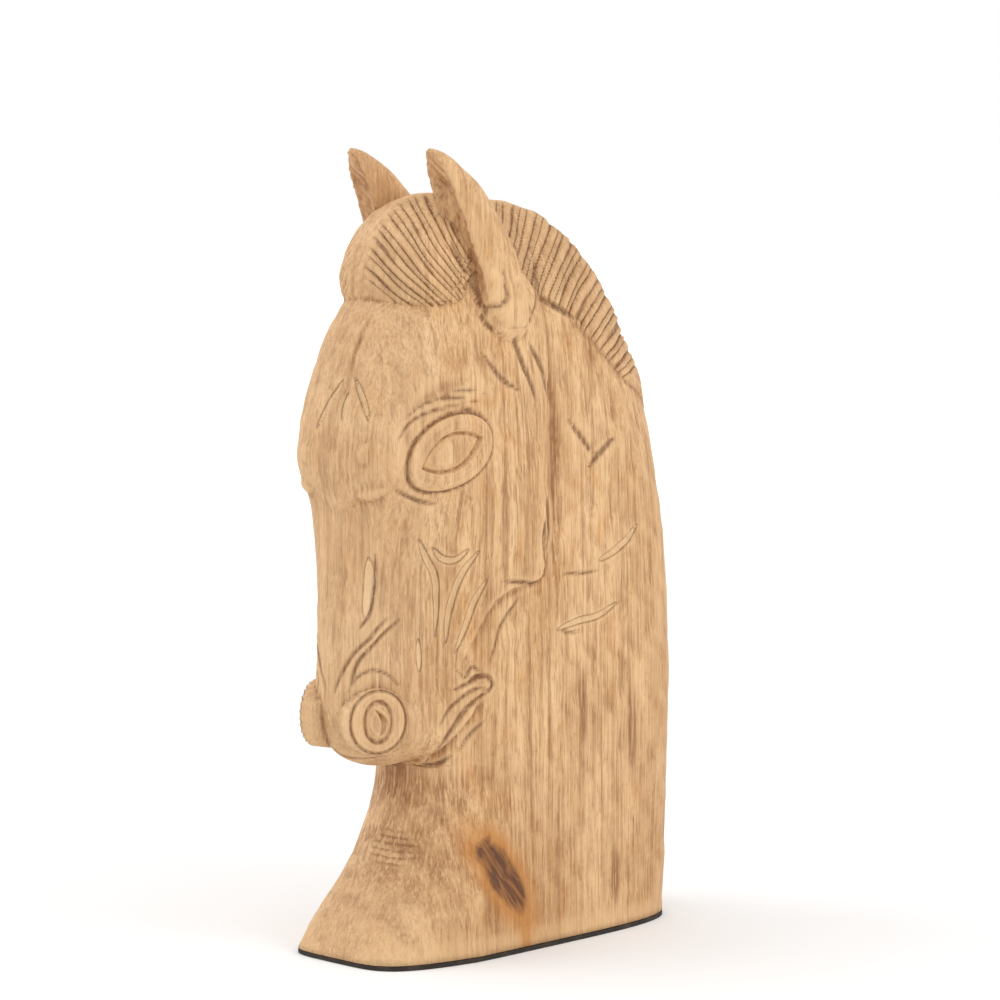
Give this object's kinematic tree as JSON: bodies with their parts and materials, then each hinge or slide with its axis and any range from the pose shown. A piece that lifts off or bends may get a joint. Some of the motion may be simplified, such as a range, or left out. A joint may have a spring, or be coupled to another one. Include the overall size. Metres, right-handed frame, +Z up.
{
  "type": "horse head sculpture",
  "caption": "Tabletop bust of a horse's head and neck in carved wood, with upright ears, a rolled forelock, a grooved mane and a thin dark pad under its flat base.",
  "frame": {"origin": "centre of the base pad's underside, in the plane that the bust stands on", "axes": "+Z up, the horse faces -Y, its left side faces +X"},
  "size_m": [0.0777, 0.1973, 0.35],
  "materials": {
    "carved_wood": "matte, brushed grain with a thin brown wash in the cuts",
    "base_pad": "matte"
  },
  "bodies": {
    "root": {"horse_head": "carved_wood", "base_pad": "base_pad"}
  },
  "joints": []
}
